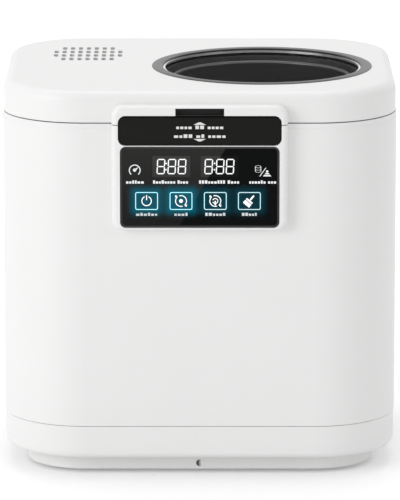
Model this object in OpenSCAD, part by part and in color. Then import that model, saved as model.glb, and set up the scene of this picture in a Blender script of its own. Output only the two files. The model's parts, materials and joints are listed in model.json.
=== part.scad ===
// Electric food waste composter: a lidded cabinet with a heated, stirred bucket.
// X runs to the right seen from the front, Y to the back and Z up. The origin is on the floor,
// under the middle of the cabinet.

/* [Cabinet] */
// Width of the body
body_w = 350; // [345:1:370]
// Depth of the body
body_d = 294; // [284:1:304]
// Radius of the body's upright corners
corner_r = 73; // [64:1:80]
// Thickness of the plastic walls
wall = 2.6; // [2:0.1:3.2]
// Height of the rubber feet
foot_h = 3.5; // [1.5:0.5:4]
// Height of the inset plinth
plinth_h = 14; // [12:0.5:18]
// Distance of the plinth inside the skirt
plinth_inset = 20; // [14:1:24]
// Height of the skirt round the base
skirt_h = 29.5; // [24:0.5:34]
// Radius of the skirt's lower edge
skirt_r = 6; // [3:0.5:8]
// Gap between skirt and body shell
base_seam = 0.6; // [0.4:0.1:1]
// Height of the body shell
shell_h = 272.5; // [264:0.5:282]
// Height of the shallow step that runs round under the lid
lip_h = 4.2; // [2:0.2:6]
// Depth of that step
lip_step = 0.35; // [0.2:0.05:0.6]

/* [Lid] */
// Gap between body and lid
lid_seam = 0.9; // [0.7:0.1:1.4]
// Height of the lid
lid_h = 27.5; // [27:0.5:32]
// Distance of the lid's wall inside the body's
lid_inset = 0.9; // [0.5:0.1:1.5]
// Radius of the lid's upper edge
lid_edge_r = 9; // [6:0.5:10]
// Outer radius of the window's dark ring
window_r = 99; // [96:0.5:100]
// Width of the window's dark ring
window_ring_w = 10; // [9:0.5:11]
// Thickness of the glass pane
glass_t = 2.4; // [2:0.1:3]
// Number of columns of vents
vent_columns = 9; // [5:1:9]
// Distance between columns of vents
vent_pitch = 7.3; // [6.5:0.1:7.5]
// Width of one vent
vent_w = 4.1; // [3:0.1:4.5]
// Length of one vent
vent_l = 14; // [10:0.5:15]

/* [Bucket] */
// Distance of the bucket's axis to the right of the middle
bucket_x = 56; // [54:0.5:57]
// Distance of the bucket's axis behind the middle
bucket_y = -12; // [-14:0.5:-8]
// Outer radius of the bucket's rim
bucket_rim_r = 82; // [80:0.5:82.5]
// Thickness of the bucket's wall
bucket_wall = 1.5; // [1.2:0.1:2.2]
// Height of the bucket
bucket_h = 182; // [178:1:184]
// Radius of the stirrer's shaft
shaft_r = 7; // [6:0.5:8]
// Reach of the stirrer's blades
blade_reach = 72; // [60:1:74]

/* [Panel and latch] */
// Width of the raised frame round handle and panel
bezel_w = 154; // [150:1:158]
// Height of the raised frame
bezel_h = 111.2; // [110:0.2:113]
// Distance that the raised frame stands out
bezel_out = 10; // [9:0.5:11]
// Rounding of the raised frame's front edge
bezel_edge_r = 4.5; // [2:0.5:6]
// Width of the touch glass
panel_w = 139; // [136:0.5:139]
// Height of the touch glass
panel_h = 72; // [70:0.5:72]
// Thickness of the touch glass
panel_t = 3; // [2:0.5:4]
// Radius of the touch glass's corners
panel_r = 5; // [3:0.5:7]
// Width of the latch handle
handle_w = 142; // [138:0.5:142]
// Height of the latch handle
handle_h = 25.6; // [25:0.1:26.5]
// Thickness of the latch handle
handle_t = 5; // [4.6:0.1:5.2]
// Radius of the handle's corners
handle_r = 6.4; // [4:0.2:8]
// Gap round the handle
handle_gap = 0.5; // [0.4:0.1:0.8]

/* [Drive] */
// Teeth of the gear on the stirrer's shaft
output_teeth = 52; // [52:1:54]
// Teeth of the small intermediate gear
idler_small_teeth = 16; // [15:1:16]
// Gear module of that pair
slow_module = 2; // [1.9:0.05:2]
// Teeth of the large intermediate gear
idler_large_teeth = 52; // [50:1:52]
// Teeth of the motor's pinion
motor_teeth = 14; // [13:1:14]
// Gear module of that pair
fast_module = 1.5; // [1.4:0.05:1.5]
// Radius of the motor
motor_r = 25; // [22:0.5:26]
// Length of the motor
motor_h = 36; // [30:1:38]

/* [Air path] */
// Width of the filter drawer
drawer_w = 52; // [44:1:54]
// Height of the filter drawer
drawer_h = 84; // [70:1:90]
// Depth of the filter drawer
drawer_d = 98; // [90:1:100]
// Side of the square fan
fan_size = 50; // [44:1:52]

/* [Hidden] */
$fn = 96;

// Clearances
gap = 0.3;
run = 0.05;
seat_gap = 0.4;
tooth_play = 0.12;

// Heights
plinth_z = foot_h;
skirt_z = plinth_z + plinth_h;
skirt_top = skirt_z + skirt_h;
shell_z = skirt_top + base_seam;
shell_top = shell_z + shell_h;
lid_z = shell_top + lid_seam;
lid_top = lid_z + lid_h;
deck_t = 3;
deck_z = shell_top - deck_t - 1.1;
deck_top = deck_z + deck_t;

// Window and the well under it
window_frame_in = window_r - window_ring_w;
trim_w = 1.8;
frame_proud = 0.5;
glass_top = lid_top - wall - 0.3;
glass_r = window_frame_in - 0.2;
well_wall = 2;
well_r = glass_r - trim_w - 1;
liner_t = 2;
liner_z = lid_z + 2;
liner_inset = wall + lid_inset + gap;

// Bucket, its chamber and the shaft
rim_roll = 2;
bucket_r = bucket_rim_r - rim_roll - 0.4;
bucket_top = lid_top - 9.2;
bucket_z = bucket_top - bucket_h;
bucket_in_r = bucket_r - bucket_wall;
chamber_gap = 2.6;
chamber_in_r = bucket_rim_r + chamber_gap - 1.4;
chamber_wall = 1.5;
chamber_floor_z = bucket_z - 9;
chamber_top = deck_z;
bush_wall = 3;
bush_flange = 4;
seat_r = 66;

// Raised frame, touch glass and handle
bezel_r = 10;
bezel_top = lid_top - 11;
bezel_z = bezel_top - bezel_h;
front_y = -body_d / 2;
bezel_y = front_y - bezel_out;
inset_y = bezel_y + 1.5;
panel_z = bezel_z + 3.1;
panel_top = panel_z + panel_h;
handle_z = panel_top + 1.4;
handle_top = handle_z + handle_h;
pivot_r = handle_t / 2;
pivot_y = inset_y + pivot_r;
pivot_z = handle_top - pivot_r;
pin_r = 1.2;
slot_w = 42.6;
slot_h = 6.6;
slot_z = handle_top + 0.3;
slot_deep = 6;
hook_w = 24;
hook_reach = 12;
hook_t = 3;
hook_z = pivot_z - 17.9;
hook_tip_y = pivot_y + hook_reach;
strike_gap = 0.5;
strike_z = hook_z + hook_t + 1.8;
notch_w = hook_w + 8;

// Hinge at the back
hinge_out = bezel_out;
hinge_y = body_d / 2 + hinge_out / 2;
hinge_z = shell_top - 4;
knuckle_r = hinge_out / 2 - 0.3;
hinge_pin_r = 2;
hinge_half = 72;
knuckle_ends = [20, 60];

// Gear train, in a row to the left of the shaft
slow_distance = slow_module * (output_teeth + idler_small_teeth) / 2;
fast_distance = fast_module * (idler_large_teeth + motor_teeth) / 2;
idler_x = bucket_x - slow_distance;
motor_x = idler_x - fast_distance;
slow_gear_h = 10;
fast_gear_h = 8;
case_wall = 3;
case_floor_z = chamber_floor_z - 43;
slow_gear_z = case_floor_z + case_wall + 2;
fast_gear_z = slow_gear_z + slow_gear_h + 3;
case_top_z = fast_gear_z + fast_gear_h + 2;
axle_r = 4;
motor_shaft_r = 2.5;

// Chassis
chassis_t = 2;
chassis_z = case_floor_z - chassis_t;
chassis_left = motor_x - motor_r;
chassis_right = bucket_x + 72;
chassis_half_d = body_d / 2 - 68;
tray_t = 2.6;

// Rear openings
drawer_x = -61;
drawer_z = chamber_floor_z + motor_h + 16;
drawer_back_y = body_d / 2 + 1.2;
sleeve_wall = 2;
fan_x = drawer_x;
fan_z = case_floor_z + 18;
fan_t = 15;
fan_y = body_d / 2 - wall - 22;
hub_r = 11;
inlet_x = 62;
inlet_z = 70;
inlet_w = 28;
inlet_h = 20;

// An upright rounded rectangle, centred
module rounded(w, d, r) {
  square([w - 2 * r, d], center = true);
  square([w, d - 2 * r], center = true);
  for (x = [-1, 1], y = [-1, 1])
    translate([x * (w / 2 - r), y * (d / 2 - r)]) circle(r);
}

module slab(w, d, r, h) {
  linear_extrude(h) rounded(w, d, r);
}

// A wall that follows a rounded rectangle
module ring_wall(w, d, r, t, h) {
  linear_extrude(h) difference() {
    rounded(w, d, r);
    rounded(w - 2 * t, d - 2 * t, r - t);
  }
}

// A 2-D profile swept round a rounded rectangle: its x runs out from the corner's centre to r
module swept(w, d, r) {
  for (i = [0:3]) {
    side_x = i == 0 || i == 3 ? 1 : -1;
    side_y = i < 2 ? 1 : -1;
    translate([side_x * (w / 2 - r), side_y * (d / 2 - r), 0])
      rotate([0, 0, 90 * i]) rotate_extrude(angle = 90) children();
  }
  for (s = [0, 180]) {
    rotate([0, 0, s]) translate([w / 2 - r, d / 2 - r, 0])
      rotate([90, 0, 0]) linear_extrude(d - 2 * r) children();
    rotate([0, 0, s]) translate([-(w / 2 - r), d / 2 - r, 0])
      rotate([90, 0, 90]) linear_extrude(w - 2 * r) children();
  }
}

// A cylinder between two heights on an upright axis
module post(x, y, z, r, h) {
  translate([x, y, z]) cylinder(r = r, h = h);
}

// A plate seen from the front, with rounded corners, from y to y + t
module plate(w, h, r, t, y, z) {
  translate([0, y + t, z + h / 2]) rotate([90, 0, 0]) slab(w, h, r, t);
}

// What the handle's recess takes out of the raised frame
module handle_recess(depth) {
  plate(handle_w + 2 * handle_gap, handle_h + 2 * handle_gap, handle_r, depth,
        bezel_y - 1, handle_z - handle_gap);
}

// The raised frame before its recesses are cut, rounded along its front edge
module bezel_block(depth) {
  translate([0, bezel_y + depth, bezel_z + bezel_h / 2]) rotate([90, 0, 0]) {
    swept(bezel_w, bezel_h, bezel_r) {
      square([bezel_r, depth - bezel_edge_r]);
      square([bezel_r - bezel_edge_r, depth]);
      translate([bezel_r - bezel_edge_r, depth - bezel_edge_r]) circle(bezel_edge_r);
    }
    linear_extrude(depth)
      square([bezel_w - 2 * bezel_r + 0.1, bezel_h - 2 * bezel_r + 0.1], center = true);
  }
}

module at_bucket() {
  translate([bucket_x, bucket_y, 0]) children();
}

// An involute spur gear's outline; play thins each tooth
function involute(base, a) = [
  base * (cos(a) + a * PI / 180 * sin(a)),
  base * (sin(a) - a * PI / 180 * cos(a))
];
function turned(p, a) = [p[0] * cos(a) - p[1] * sin(a), p[0] * sin(a) + p[1] * cos(a)];

module gear_outline(teeth, m) {
  pitch = teeth * m / 2;
  base = pitch * cos(20);
  outer = pitch + 0.94 * m;
  root = pitch - 1.2 * m;
  start = root > base ? sqrt(pow(root / base, 2) - 1) * 180 / PI : 0;
  finish = sqrt(pow(outer / base, 2) - 1) * 180 / PI;
  at_pitch = tan(20) * 180 / PI - 20;
  half = 90 / teeth + at_pitch - tooth_play / pitch * 90 / PI;
  steps = 4;
  flank = [for (i = [0:steps]) involute(base, start + (finish - start) * i / steps)];
  tooth = concat(
    [turned([root - 0.4, 0], -half)],
    [for (p = flank) turned(p, -half)],
    [for (i = [steps:-1:0]) turned([flank[i][0], -flank[i][1]], half)],
    [turned([root - 0.4, 0], half)]
  );
  polygon([for (k = [0:teeth - 1]) for (p = tooth) turned(p, 360 * k / teeth)]);
}

module gear(teeth, m, h, bore) {
  difference() {
    linear_extrude(h) gear_outline(teeth, m);
    translate([0, 0, -1]) cylinder(r = bore, h = h + 2);
  }
}

// A cross-headed screw with its head's top at z, pointing down or up
module screw(x, y, z, len, down = true) {
  translate([x, y, z]) rotate([down ? 0 : 180, 0, 0]) difference() {
    union() {
      translate([0, 0, -1.8]) cylinder(r = 3, h = 1.8);
      translate([0, 0, -len]) cylinder(r = 1.4, h = len);
    }
    for (a = [0, 90])
      rotate([0, 0, a]) translate([-1.8, -0.4, -1]) cube([3.6, 0.8, 2]);
  }
}

white = [0.92, 0.92, 0.91];
black = [0.10, 0.10, 0.10];
dark = [0.25, 0.25, 0.26];
steel = [0.72, 0.73, 0.75];
board = [0.10, 0.32, 0.18];

// Places of repeated parts
post_x = [chassis_left + 14, chassis_right - 10];
post_y = [-chassis_half_d + 10, chassis_half_d - 10];
foot_x = body_w / 2 - 62;
foot_y = body_d / 2 - 54;
ledge_w = 8;
ledge_mid = wall + gap + 3.9;
deck_spots = [
  for (x = [-1, 1], y = [-1, 1]) [x * (body_w / 2 - corner_r + 4), y * (body_d / 2 - ledge_mid)],
  for (x = [-1, 1]) [x * (body_w / 2 - ledge_mid), 0]
];
lid_left = 26 - body_w / 2;
lid_right = body_w / 2 - 34;
lid_spots = [
  [lid_left, -60], [lid_left, 60], [lid_left + 89, front_y + 22],
  [lid_right, -94], [lid_right, 90], [lid_left + 101, -front_y - 22]
];
magnet_x = lid_left + 75;

// ---- Base and chassis

module rubber_feet() {
  color(dark)
  for (x = [-1, 1], y = [-1, 1])
    post(x * foot_x, y * foot_y, 0, 11, foot_h);
}

module base_tray() {
  skirt_out = corner_r - 0.6;
  plinth_out = corner_r - plinth_inset;
  color(white)
  difference() {
    union() {
      swept(body_w, body_d, corner_r) {
        translate([plinth_out - wall, plinth_z]) square([wall, plinth_h + tray_t]);
        translate([plinth_out - wall, skirt_z])
          square([skirt_out - skirt_r - plinth_out + wall, tray_t]);
        intersection() {
          translate([skirt_out - skirt_r, skirt_z + skirt_r]) difference() {
            circle(skirt_r);
            circle(skirt_r - tray_t);
          }
          translate([skirt_out - skirt_r, skirt_z]) square(skirt_r);
        }
        translate([skirt_out - tray_t, skirt_z + skirt_r]) square([tray_t, skirt_h - skirt_r]);
        translate([skirt_out - tray_t - 2.2, skirt_top - 7]) square([2.4, 12]);
      }
      translate([0, 0, plinth_z])
        slab(body_w - 2 * plinth_inset, body_d - 2 * plinth_inset, plinth_out, tray_t);
    }
    for (x = post_x, y = post_y) post(x, y, plinth_z - 1, 1.4, tray_t + 2);
    // a shallow round dimple in the front of the plinth
    translate([0, front_y + plinth_inset - 1, plinth_z + 5.2])
      rotate([-90, 0, 0]) cylinder(r = 3.2, h = 2.2);
  }
}

module base_screws() {
  color(steel)
  for (x = post_x, y = post_y) screw(x, y, plinth_z - 1.8, 16, down = false);
}

module load_cells() {
  color(steel)
  for (x = post_x, y = post_y) difference() {
    translate([x - 15, y - 12, plinth_z + tray_t]) cube([30, 24, 4]);
    post(x, y, plinth_z, 1.4, 20);
  }
}

module chassis_posts() {
  low = plinth_z + tray_t + 4;
  color(steel)
  for (x = post_x, y = post_y) difference() {
    post(x, y, low, 5, chassis_z - low);
    post(x, y, low - 1, 1.4, 13);
  }
}

module chassis_plate() {
  color(steel)
  difference() {
    translate([chassis_left, -chassis_half_d, chassis_z])
      cube([chassis_right - chassis_left, 2 * chassis_half_d, chassis_t]);
    // cooling holes over the power board
    for (x = [chassis_left + 66.5, chassis_right - 28], y = [-1, 1])
      post(x, y * (chassis_half_d - 16), chassis_z - 1, 6, chassis_t + 2);
  }
}

// ---- Cabinet

module body_shell() {
  color(white)
  difference() {
    union() {
      translate([0, 0, shell_z]) ring_wall(body_w, body_d, corner_r, wall, shell_h - lip_h);
      translate([0, 0, shell_z])
        ring_wall(body_w - 2 * lip_step, body_d - 2 * lip_step, corner_r - lip_step,
                  wall - lip_step, shell_h);
      translate([0, 0, deck_z - 2.5])
        ring_wall(body_w - 2 * wall + 1, body_d - 2 * wall + 1, corner_r - wall + 0.5,
                  ledge_w, 2.5);
    }
    translate([-notch_w / 2, front_y - 1, hook_z - 5])
      cube([notch_w, ledge_w + wall + 2, shell_top - hook_z + 6]);
    translate([-panel_w / 2 + 8, front_y - 1, panel_z + 6])
      cube([panel_w - 16, wall + 2, panel_h - 12]);
    translate([drawer_x - drawer_w / 2 - gap, body_d / 2 - wall - 1, drawer_z - gap])
      cube([drawer_w + 2 * gap, wall + 2, drawer_h + 2 * gap]);
    translate([fan_x - fan_size / 2 + 3, body_d / 2 - wall - 1, fan_z - fan_size / 2 + 3])
      cube([fan_size - 6, wall + 2, fan_size - 6]);
    translate([inlet_x - inlet_w / 2, body_d / 2 - wall - 1, inlet_z - inlet_h / 2])
      cube([inlet_w, wall + 2, inlet_h]);
    for (p = deck_spots) post(p[0], p[1], deck_z - 4, 1.4, 6);
  }
}

module top_deck() {
  side = wall + gap;
  color(white)
  difference() {
    translate([0, 0, deck_z])
      slab(body_w - 2 * side, body_d - 2 * side, corner_r - side, deck_t);
    at_bucket() post(0, 0, deck_z - 1, chamber_in_r, deck_t + 2);
    translate([-notch_w / 2, front_y, deck_z - 1])
      cube([notch_w, hook_tip_y + strike_gap - front_y, deck_t + 2]);
    for (p = deck_spots) {
      post(p[0], p[1], deck_z - 1, 1.4, deck_t + 2);
      post(p[0], p[1], deck_top - 1.8, 3, 3);
    }
  }
}

module deck_screws() {
  color(steel)
  for (p = deck_spots) screw(p[0], p[1], deck_top, 7);
}

module deck_seal() {
  inner = well_r + well_wall + 1;
  color(dark)
  at_bucket() translate([0, 0, deck_top]) difference() {
    cylinder(r = inner + 5, h = liner_z - deck_top - seat_gap);
    translate([0, 0, -1]) cylinder(r = inner, h = 10);
    translate([0, 0, 1.4]) cylinder(r = inner + 2.6, h = 10);
  }
}

module exhaust_grille() {
  side = fan_size + 4;
  color(white)
  translate([fan_x, body_d / 2 + 1.2, fan_z]) difference() {
    rotate([90, 0, 0]) slab(side, side, 4, 1.2);
    for (i = [-3:3])
      translate([-side / 2 + 6, -2, i * 6 - 1.6]) cube([side - 12, 3, 3.2]);
  }
}

module control_bezel() {
  color(white)
  difference() {
    intersection() {
      bezel_block(bezel_out);
      translate([-bezel_w, bezel_y - 1, bezel_z - 1])
        cube([2 * bezel_w, bezel_out + 2, shell_top - bezel_z + 1]);
    }
    // seat of the touch glass, and the opening behind it
    plate(panel_w + 2 * gap, panel_h + 2 * gap, panel_r + gap, 2.5 + panel_t, bezel_y - 1,
          panel_z - gap);
    translate([-panel_w / 2 + 8, bezel_y - 1, panel_z + 6])
      cube([panel_w - 16, bezel_out + 2, panel_h - 12]);
    handle_recess(bezel_out + 2);
  }
}

module touch_panel() {
  color(black)
  plate(panel_w, panel_h, panel_r, panel_t, inset_y, panel_z);
}

// ---- Electronics

display_y = front_y + 1;
light_y = inset_y + panel_t;
digit_z = panel_top - 17.4;
digit_w = (panel_w - 73.8) / 2;
digit_x = [44.7 - panel_w / 2, panel_w / 2 - 52.2];
button_z = panel_top - 48.3;
button_w = 19.6;
button_pitch = (panel_w - 49) / 3;
button_x = [for (i = [0:3]) 23 - panel_w / 2 + button_pitch * i];

module display_board() {
  color(board)
  translate([-panel_w / 2 + 10, display_y, panel_z + 8])
    cube([panel_w - 20, 1.6, panel_h - 16]);
}

// A block of seven-segment digits in its dark case
module digit_block(x) {
  translate([x - digit_w / 2, light_y, digit_z - 9.5]) cube([digit_w, display_y - light_y, 19]);
}

module digits_left() {
  color(dark) digit_block(digit_x[0]);
}

module digits_right() {
  color(dark) digit_block(digit_x[1]);
}

module button_frames() {
  color([0.55, 0.85, 0.85])
  for (x = button_x) translate([x, light_y, button_z]) difference() {
    translate([-button_w / 2, 0, -7.8]) cube([button_w, display_y - light_y, 15.6]);
    translate([1.4 - button_w / 2, -1, -6.4]) cube([button_w - 2.8, 20, 12.8]);
  }
}

module control_board() {
  y = display_y + 1.6;
  half = panel_w / 2 - 11.5;
  color(board)
  for (x = [10 - half, half - 10], z = [panel_z + 14, panel_top - 14])
    translate([x, y, z]) rotate([-90, 0, 0]) cylinder(r = 2.5, h = 10);
  color(board)
  translate([-half, y + 10, panel_z + 8]) cube([2 * half, 1.6, panel_h - 16]);
  color(dark)
  for (x = [-40, -12, 22])
    translate([x, y + 11.6, panel_z + 20]) cube([16, 4, 20]);
}

module power_board() {
  z = plinth_z + tray_t;
  color(board)
  for (x = [-50, 70], y = [-36, 36]) post(x, y, z, 3, 8);
  color(board)
  translate([-60, -44, z + 8]) cube([140, 88, 1.6]);
  color(dark)
  translate([-45, -20, z + 9.6]) cube([40, 36, 32]);
  for (x = [15, 34, 53]) post(x, -22, z + 9.6, 8, 26);
  translate([10, 10, z + 9.6]) cube([54, 6, 28]);
}

module power_inlet() {
  y = body_d / 2;
  color(black)
  translate([inlet_x, 0, inlet_z]) difference() {
    union() {
      translate([-inlet_w / 2 + gap, y - 24, -inlet_h / 2 + gap])
        cube([inlet_w - 2 * gap, 24.5, inlet_h - 2 * gap]);
      translate([0, y + 2, 0]) rotate([90, 0, 0]) slab(inlet_w + 8, inlet_h + 8, 3, 2);
    }
    translate([-inlet_w / 2 + 3, y - 16, -inlet_h / 2 + 3])
      cube([inlet_w - 6, 20, inlet_h - 6]);
  }
  color(steel)
  for (p = [[-7, -2.5], [7, -2.5], [0, 2.5]])
    translate([inlet_x + p[0] - 1, y - 20, inlet_z + p[1] - 2]) cube([2, 14, 4]);
}

module latch_strike() {
  y = hook_tip_y + strike_gap;
  half = hook_w / 2 + 3;
  color(steel)
  translate([-half, y, strike_z]) cube([2 * half, 8, 2]);
  color(steel)
  translate([-half, y + 6, strike_z]) cube([2 * half, 2, deck_z - strike_z]);
}

module reed_switch() {
  color(black)
  translate([magnet_x - 8, front_y + 12, deck_z - 5]) cube([16, 5, 5]);
}

module lid_magnet() {
  color(steel)
  post(magnet_x, front_y + 14.5, liner_z + liner_t, 4, 3);
}

// ---- Hinge

// A round bar along X between two places on an axis
module bar_x(x0, x1, y, z, r) {
  translate([x0, y, z]) rotate([0, 90, 0]) cylinder(r = r, h = x1 - x0);
}

module hinge_block() {
  low = hinge_z - 15;
  color(white)
  difference() {
    union() {
      translate([-hinge_half, body_d / 2, low])
        cube([2 * hinge_half, hinge_out, 9]);
      for (k = [[-hinge_half, -knuckle_ends[1]], [-knuckle_ends[0], knuckle_ends[0]],
                [knuckle_ends[1], hinge_half]]) {
        bar_x(k[0], k[1], hinge_y, hinge_z, knuckle_r);
        translate([k[0], body_d / 2, low]) cube([k[1] - k[0], 2 * knuckle_r, hinge_z - low]);
      }
    }
    bar_x(-hinge_half - 1, hinge_half + 1, hinge_y, hinge_z, hinge_pin_r);
  }
}

module hinge_pin() {
  color(steel)
  bar_x(-hinge_half, hinge_half, hinge_y, hinge_z, hinge_pin_r);
}

module lid_arms() {
  top = lid_z + 8;
  for (s = [0, 1]) mirror([s, 0, 0]) {
    x0 = knuckle_ends[0] + seat_gap;
    x1 = knuckle_ends[1] - seat_gap;
    difference() {
      union() {
        bar_x(x0, x1, hinge_y, hinge_z, knuckle_r);
        translate([x0, body_d / 2 + gap, hinge_z]) cube([x1 - x0, hinge_out - 2 * gap, top - hinge_z]);
        translate([x0, body_d / 2 - lid_inset - 1, lid_z]) cube([x1 - x0, 4, top - lid_z]);
      }
      bar_x(x0 - 1, x1 + 1, hinge_y, hinge_z, hinge_pin_r + run);
    }
  }
}

// ---- Heated chamber and seat

chamber_out = chamber_in_r + chamber_wall;
chamber_floor_t = 2;
bush_r = shaft_r + bush_wall;

module heated_chamber() {
  color(steel)
  at_bucket() difference() {
    union() {
      post(0, 0, chamber_floor_z, chamber_out, chamber_top - chamber_floor_z);
      post(0, 0, chamber_top - 2, chamber_out + 7, 2);
    }
    post(0, 0, chamber_floor_z + chamber_floor_t, chamber_in_r, 400);
    post(0, 0, chamber_floor_z - 1, bush_r, 10);
  }
}

module heater_ring() {
  color([0.45, 0.30, 0.22])
  at_bucket() translate([0, 0, chamber_floor_z - 4]) difference() {
    cylinder(r = bucket_rim_r - 4, h = 4);
    translate([0, 0, -1]) cylinder(r = bucket_rim_r - 38, h = 6);
  }
}

module temperature_sensor() {
  color(steel)
  at_bucket() rotate([0, 0, 200]) post(32, 0, chamber_floor_z - 8, 5, 8);
}

module shaft_bush() {
  color([0.8, 0.7, 0.45])
  at_bucket() difference() {
    union() {
      post(0, 0, chamber_floor_z - 3, bush_r, 3 + chamber_floor_t);
      post(0, 0, chamber_floor_z + chamber_floor_t, bush_r + bush_flange, 1.5);
    }
    post(0, 0, chamber_floor_z - 4, shaft_r + run, 12);
  }
}

claw_angle = 16;
tab_z = bucket_z - 3.4;

module bucket_seat() {
  low = chamber_floor_z + chamber_floor_t;
  color(white)
  at_bucket() {
    translate([0, 0, low]) difference() {
      cylinder(r = seat_r + 8.5, h = tab_z - low - gap);
      translate([0, 0, -1]) cylinder(r = seat_r - 8, h = 10);
    }
    for (a = [0, 120, 240]) rotate([0, 0, a]) rotate_extrude(angle = claw_angle) {
      translate([seat_r + 5, low + 1]) square([2, bucket_z - gap - low - 1]);
      translate([seat_r, tab_z + 1.5 + gap]) square([6, bucket_z - tab_z - 1.5 - 2 * gap]);
    }
  }
}

// ---- Gearbox and motor

module case_outline(grow) {
  big = slow_module * output_teeth / 2 + slow_module + 2 + grow;
  middle = fast_module * idler_large_teeth / 2 + fast_module + 2 + grow;
  small = fast_module * motor_teeth / 2 + fast_module + 3 + grow;
  translate([bucket_x, bucket_y]) circle(big);
  translate([idler_x, bucket_y]) circle(middle);
  translate([motor_x, bucket_y]) circle(small);
  translate([idler_x, bucket_y - middle]) square([bucket_x - idler_x, 2 * middle]);
  translate([motor_x, bucket_y - small]) square([idler_x - motor_x, 2 * small]);
}

module gearbox_lower() {
  color(dark)
  difference() {
    translate([0, 0, case_floor_z]) linear_extrude(case_top_z - case_floor_z)
      case_outline(case_wall);
    difference() {
      translate([0, 0, case_floor_z + case_wall]) linear_extrude(60) case_outline(0);
      at_bucket() post(0, 0, case_floor_z, shaft_r + 4, case_wall + 1.6);
      post(idler_x, bucket_y, case_floor_z, axle_r + 3, case_wall + 1.6);
    }
    at_bucket() post(0, 0, case_floor_z + case_wall - 0.4, shaft_r + run, 10);
    post(idler_x, bucket_y, case_floor_z + 1, axle_r, 20);
  }
}

module gearbox_upper() {
  color(dark)
  difference() {
    translate([0, 0, case_top_z]) linear_extrude(case_wall) case_outline(case_wall);
    at_bucket() post(0, 0, case_top_z - 1, shaft_r + run, 10);
    post(idler_x, bucket_y, case_top_z - 1, axle_r, 3);
    post(motor_x, bucket_y, case_top_z - 1, motor_shaft_r + gap, 10);
  }
}

module idler_axle() {
  color(steel)
  post(idler_x, bucket_y, case_floor_z + 1, axle_r, case_top_z + 1 - case_floor_z);
}

module motor() {
  low = case_top_z + case_wall;
  color(steel)
  difference() {
    union() {
      post(motor_x, bucket_y, low, motor_r, motor_h);
      post(motor_x, bucket_y, low + motor_h, motor_r - 14, 4);
    }
    post(motor_x, bucket_y, low - 1, motor_shaft_r + run, 13);
  }
}

module output_gear() {
  color(white)
  at_bucket() translate([0, 0, slow_gear_z]) rotate([0, 0, 180])
    gear(output_teeth, slow_module, slow_gear_h, shaft_r);
}

module idler_gear() {
  color(white)
  translate([idler_x, bucket_y, 0]) difference() {
    union() {
      translate([0, 0, slow_gear_z]) rotate([0, 0, 180 / idler_small_teeth])
        linear_extrude(fast_gear_z - slow_gear_z + 1) gear_outline(idler_small_teeth, slow_module);
      translate([0, 0, fast_gear_z]) rotate([0, 0, 180])
        linear_extrude(fast_gear_h) gear_outline(idler_large_teeth, fast_module);
    }
    post(0, 0, slow_gear_z - 1, axle_r + run, 60);
  }
}

module motor_pinion() {
  color(steel)
  translate([motor_x, bucket_y, 0]) {
    translate([0, 0, fast_gear_z]) rotate([0, 0, 180 / motor_teeth])
      gear(motor_teeth, fast_module, fast_gear_h, motor_shaft_r - 0.1);
    post(0, 0, fast_gear_z - 1, motor_shaft_r, case_top_z + case_wall + 10 - fast_gear_z);
  }
}

// ---- Air path

module fan_frame() {
  y = fan_y;
  bore = fan_size / 2 - 2;
  color(black)
  translate([fan_x, y, fan_z]) difference() {
    union() {
      difference() {
        translate([-fan_size / 2, 0, -fan_size / 2]) cube([fan_size, fan_t, fan_size]);
        translate([0, -1, 0]) rotate([-90, 0, 0]) cylinder(r = bore, h = fan_t + 2);
      }
      rotate([-90, 0, 0]) cylinder(r = hub_r, h = 3);
      for (a = [30, 150, 270])
        rotate([0, a, 0]) translate([hub_r - 1, 0, -2]) cube([bore - hub_r + 2, 2, 4]);
    }
    translate([0, -1, 0]) rotate([-90, 0, 0]) cylinder(r = 1.5 + run, h = 10);
  }
}

module fan_impeller() {
  reach = fan_size / 2 - 3;
  color(dark)
  translate([fan_x, fan_y + 3.6, fan_z]) {
    rotate([-90, 0, 0]) cylinder(r = hub_r, h = fan_t - 4.6);
    translate([0, -3.6, 0]) rotate([-90, 0, 0]) cylinder(r = 1.5, h = 4);
    for (k = [0:6])
      rotate([0, k * 360 / 7, 0])
        intersection() {
          translate([hub_r - 1, 5, 0]) rotate([40, 0, 0]) translate([0, -6, -0.7])
            cube([reach - hub_r + 1, 12, 1.4]);
          translate([0, 0.2, -12]) cube([reach, fan_t - 5, 24]);
        }
  }
}

sleeve_in = 1;
sleeve_y0 = drawer_back_y - 1.2 - drawer_d - 2 * sleeve_wall;

module filter_sleeve() {
  w = drawer_w + 2 * sleeve_in;
  h = drawer_h + 2 * sleeve_in;
  y1 = body_d / 2 - wall;
  color(white)
  translate([drawer_x, 0, drawer_z + drawer_h / 2]) difference() {
    translate([-w / 2 - sleeve_wall, sleeve_y0, -h / 2 - sleeve_wall])
      cube([w + 2 * sleeve_wall, y1 - sleeve_y0, h + 2 * sleeve_wall]);
    translate([-w / 2, sleeve_y0 + sleeve_wall, -h / 2]) cube([w, 200, h]);
    translate([0, sleeve_y0 - 1, 0]) rotate([-90, 0, 0]) cylinder(r = 14, h = 6);
    translate([-16, sleeve_y0 + 20, -h / 2 - 5]) cube([32, 50, 10]);
  }
}

module air_duct() {
  z = drawer_z + drawer_h / 2;
  y = sleeve_y0 - 24;
  color(dark)
  difference() {
    union() {
      translate([drawer_x - 22, y, z - 22]) cube([44, 24, 44]);
      bar_x(drawer_x + 10, bucket_x, y + 12, z, 10);
    }
    translate([drawer_x - 20, y + 2, z - 20]) cube([40, 30, 40]);
    bar_x(drawer_x + 8, bucket_x + 1, y + 12, z, 8.5);
    at_bucket() post(0, 0, z - 60, chamber_out, 120);
  }
}

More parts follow.
